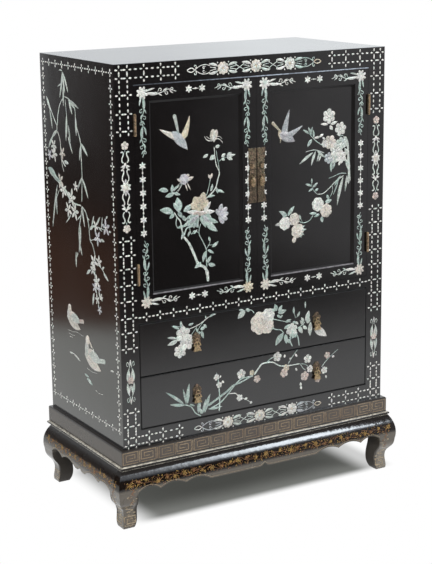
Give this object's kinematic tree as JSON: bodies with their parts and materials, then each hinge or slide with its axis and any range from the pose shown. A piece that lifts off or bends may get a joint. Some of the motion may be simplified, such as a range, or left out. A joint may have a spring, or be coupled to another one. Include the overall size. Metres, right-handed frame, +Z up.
{
  "type": "cabinet on stand",
  "caption": "Black lacquered cabinet with paired panelled doors over wide drawers, carried on a low stand with a bulging scalloped apron and curved legs.",
  "frame": {"origin": "centre of the footprint, on the floor under the feet", "axes": "+Z up, the doors and drawers face -Y, +X to the right of someone facing the doors"},
  "size_m": [0.896, 0.474, 1.214],
  "materials": {
    "black_lacquer": "polished black lacquer over wood",
    "stand_lacquer": "brown-black lacquer, rubbed",
    "plain_wood": "plain planed softwood",
    "brass": "aged brass"
  },
  "bodies": {
    "cabinet": {"carcass_back": "black_lacquer", "carcass_bottom": "black_lacquer", "carcass_side_left": "black_lacquer", "carcass_side_right": "black_lacquer", "carcass_top": "black_lacquer", "cupboard_shelf": "plain_wood", "divider_board": "black_lacquer", "door_stop": "plain_wood", "drawer_blade": "plain_wood", "drawer_runners": "plain_wood", "face_rail_bottom": "black_lacquer", "face_rail_middle": "black_lacquer", "face_rail_top": "black_lacquer", "face_stile_left": "black_lacquer", "face_stile_right": "black_lacquer", "hinge_frame_leaves": "brass", "hinge_pins": "brass", "hinge_screws": "brass", "shelf_cleats": "plain_wood", "stand_apron_back": "stand_lacquer", "stand_apron_front": "stand_lacquer", "stand_apron_left": "stand_lacquer", "stand_apron_right": "stand_lacquer", "stand_cross_bearers": "plain_wood", "stand_leg_back_left": "stand_lacquer", "stand_leg_back_right": "stand_lacquer", "stand_leg_front_left": "stand_lacquer", "stand_leg_front_right": "stand_lacquer", "stand_rim": "stand_lacquer"},
    "left_door": {"left_door_bead": "black_lacquer", "left_door_fasteners": "brass", "left_door_hinge_leaves": "brass", "left_door_lock_plate": "brass", "left_door_panel": "black_lacquer", "left_door_rails": "black_lacquer", "left_door_stiles": "black_lacquer"},
    "right_door": {"right_door_bead": "black_lacquer", "right_door_fasteners": "brass", "right_door_hinge_leaves": "brass", "right_door_lock_plate": "brass", "right_door_panel": "black_lacquer", "right_door_rails": "black_lacquer", "right_door_stiles": "black_lacquer"},
    "left_door_drop": {"left_door_drop": "brass"},
    "right_door_drop": {"right_door_drop": "brass"},
    "upper_drawer": {"upper_drawer_back": "plain_wood", "upper_drawer_bottom": "plain_wood", "upper_drawer_front": "black_lacquer", "upper_drawer_pull_mounts": "brass", "upper_drawer_sides": "plain_wood"},
    "lower_drawer": {"lower_drawer_back": "plain_wood", "lower_drawer_bottom": "plain_wood", "lower_drawer_front": "black_lacquer", "lower_drawer_pull_mounts": "brass", "lower_drawer_sides": "plain_wood"},
    "upper_drawer_left_pull": {"upper_drawer_pull_left": "brass"},
    "upper_drawer_right_pull": {"upper_drawer_pull_right": "brass"},
    "lower_drawer_left_pull": {"lower_drawer_pull_left": "brass"},
    "lower_drawer_right_pull": {"lower_drawer_pull_right": "brass"}
  },
  "joints": [
    {"name": "left_door_hinge", "type": "hinge", "parent": "cabinet", "child": "left_door", "pos_m": [-0.3606, -0.20835, 0.868], "axis": [0, 0, -1], "range_deg": [0, 170]},
    {"name": "right_door_hinge", "type": "hinge", "parent": "cabinet", "child": "right_door", "pos_m": [0.3606, -0.20835, 0.868], "axis": [0, 0, 1], "range_deg": [0, 170]},
    {"name": "upper_drawer_slide", "type": "slide", "parent": "cabinet", "child": "upper_drawer", "axis": [0, -1, 0], "range_m": [0, 0.3]},
    {"name": "lower_drawer_slide", "type": "slide", "parent": "cabinet", "child": "lower_drawer", "axis": [0, -1, 0], "range_m": [0, 0.3]},
    {"name": "left_door_drop_swing", "type": "hinge", "parent": "left_door", "child": "left_door_drop", "pos_m": [-0.014, -0.21, 0.9028], "axis": [-1, 0, 0], "range_deg": [0, 100]},
    {"name": "right_door_drop_swing", "type": "hinge", "parent": "right_door", "child": "right_door_drop", "pos_m": [0.014, -0.21, 0.9028], "axis": [-1, 0, 0], "range_deg": [0, 100]},
    {"name": "upper_drawer_left_pull_swing", "type": "hinge", "parent": "upper_drawer", "child": "upper_drawer_left_pull", "pos_m": [-0.192, -0.21, 0.483], "axis": [-1, 0, 0], "range_deg": [0, 100]},
    {"name": "upper_drawer_right_pull_swing", "type": "hinge", "parent": "upper_drawer", "child": "upper_drawer_right_pull", "pos_m": [0.192, -0.21, 0.483], "axis": [-1, 0, 0], "range_deg": [0, 100]},
    {"name": "lower_drawer_left_pull_swing", "type": "hinge", "parent": "lower_drawer", "child": "lower_drawer_left_pull", "pos_m": [-0.192, -0.21, 0.3405], "axis": [-1, 0, 0], "range_deg": [0, 100]},
    {"name": "lower_drawer_right_pull_swing", "type": "hinge", "parent": "lower_drawer", "child": "lower_drawer_right_pull", "pos_m": [0.192, -0.21, 0.3405], "axis": [-1, 0, 0], "range_deg": [0, 100]}
  ]
}
